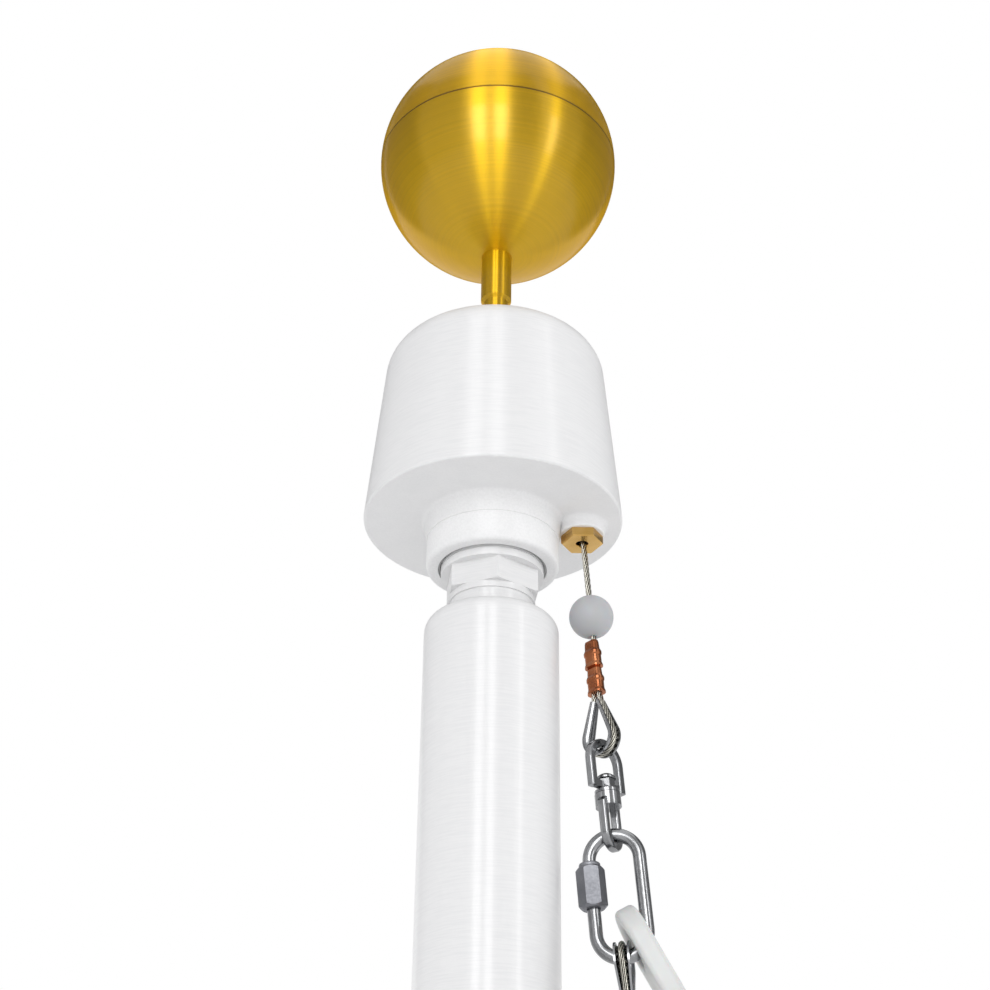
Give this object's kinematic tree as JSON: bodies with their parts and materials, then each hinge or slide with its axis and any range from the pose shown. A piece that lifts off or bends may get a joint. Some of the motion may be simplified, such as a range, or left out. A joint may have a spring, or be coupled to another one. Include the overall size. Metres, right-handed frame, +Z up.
{
  "type": "flagpole top with revolving truck",
  "caption": "Top section of a flagpole with a revolving truck, ball finial and the swivel, quick link, snap and sling that hang on its internal halyard.",
  "frame": {"origin": "centre of the shaft's lower face, on the pole's axis", "axes": "+Z up along the pole to the finial, +X out to where the halyard leaves the truck, so the front of the picture looks along +Y"},
  "size_m": [0.1697, 0.1284, 0.816],
  "materials": {
    "shaft_paint": "white coat with fine brush lines",
    "spindle_metal": "white coat",
    "bearing_steel": "dark ring",
    "truck_paint": "white coat, cast grain below",
    "seal_metal": "dark ring",
    "bushing_brass": "bright",
    "finial_gold": "satin gold anodised",
    "rope_steel": "stranded wire",
    "bead_plastic": "matte grey white",
    "copper": "copper",
    "thimble_zinc": "zinc plated",
    "swivel_zinc": "zinc plated",
    "link_zinc": "zinc plated",
    "snap_nylon": "white nylon"
  },
  "bodies": {
    "shaft": {"pole_shaft": "shaft_paint", "spindle": "spindle_metal", "truck_bearing": "bearing_steel"},
    "truck": {"truck_housing": "truck_paint", "hub_seal": "seal_metal", "halyard_bushing": "bushing_brass", "finial_stem": "finial_gold", "finial_ball_lower": "finial_gold", "finial_ball_upper": "finial_gold"},
    "halyard": {"halyard_rope": "rope_steel", "stop_bead": "bead_plastic", "halyard_upper_sleeve": "copper", "halyard_lower_sleeve": "copper", "halyard_thimble": "thimble_zinc"},
    "bow": {"swivel_bow": "swivel_zinc"},
    "eye": {"swivel_eye": "swivel_zinc"},
    "link": {"quick_link": "link_zinc"},
    "nut": {"link_nut": "link_zinc"},
    "snap": {"snap_body": "snap_nylon"},
    "tongue": {"snap_tongue": "snap_nylon"},
    "sling": {"sling_rope": "rope_steel", "sling_upper_thimble": "thimble_zinc", "sling_lower_thimble": "thimble_zinc", "sling_sleeve_1": "copper", "sling_sleeve_2": "copper", "sling_sleeve_3": "copper", "sling_sleeve_4": "copper"}
  },
  "joints": [
    {"name": "truck_revolve", "type": "hinge", "parent": "shaft", "child": "truck", "pos_m": [0, 0, 0.5], "axis": [0, 0, 1], "continuous": true},
    {"name": "halyard_run", "type": "slide", "parent": "truck", "child": "halyard", "axis": [-0.0785, 0, 0.9969], "range_m": [-0.035, 0.028]},
    {"name": "bow_swing", "type": "hinge", "parent": "halyard", "child": "bow", "pos_m": [0.05148, 0.00117, 0.40303], "axis": [0.6799, -0.7314, 0.0535], "range_deg": [0, 70]},
    {"name": "swivel_spin", "type": "hinge", "parent": "bow", "child": "eye", "pos_m": [0.05294, 0.00117, 0.38439], "axis": [-0.0785, 0, 0.9969], "range_deg": [-100, 100]},
    {"name": "link_swing", "type": "hinge", "parent": "eye", "child": "link", "pos_m": [0.05447, 0.00117, 0.36495], "axis": [-0.9751, 0.2079, -0.0767], "range_deg": [-60, 60]},
    {"name": "nut_travel", "type": "slide", "parent": "link", "child": "nut", "axis": [0.0785, 0, -0.9969], "range_m": [0, 0.007]},
    {"name": "snap_swing", "type": "hinge", "parent": "link", "child": "snap", "pos_m": [0.06607, -0.00047, 0.31568], "axis": [-0.8767, 0.1063, -0.4691], "range_deg": [-60, 60]},
    {"name": "tongue_press", "type": "hinge", "parent": "snap", "child": "tongue", "pos_m": [0.08549, 0.00669, 0.281], "axis": [-0.8767, 0.1063, -0.4691], "range_deg": [0, 18], "stiffness_Nm_per_rad": 0.05},
    {"name": "sling_swing", "type": "hinge", "parent": "link", "child": "sling", "pos_m": [0.05843, 0.00125, 0.30969], "axis": [-0.9751, 0.2079, -0.0767], "range_deg": [-60, 60]}
  ]
}
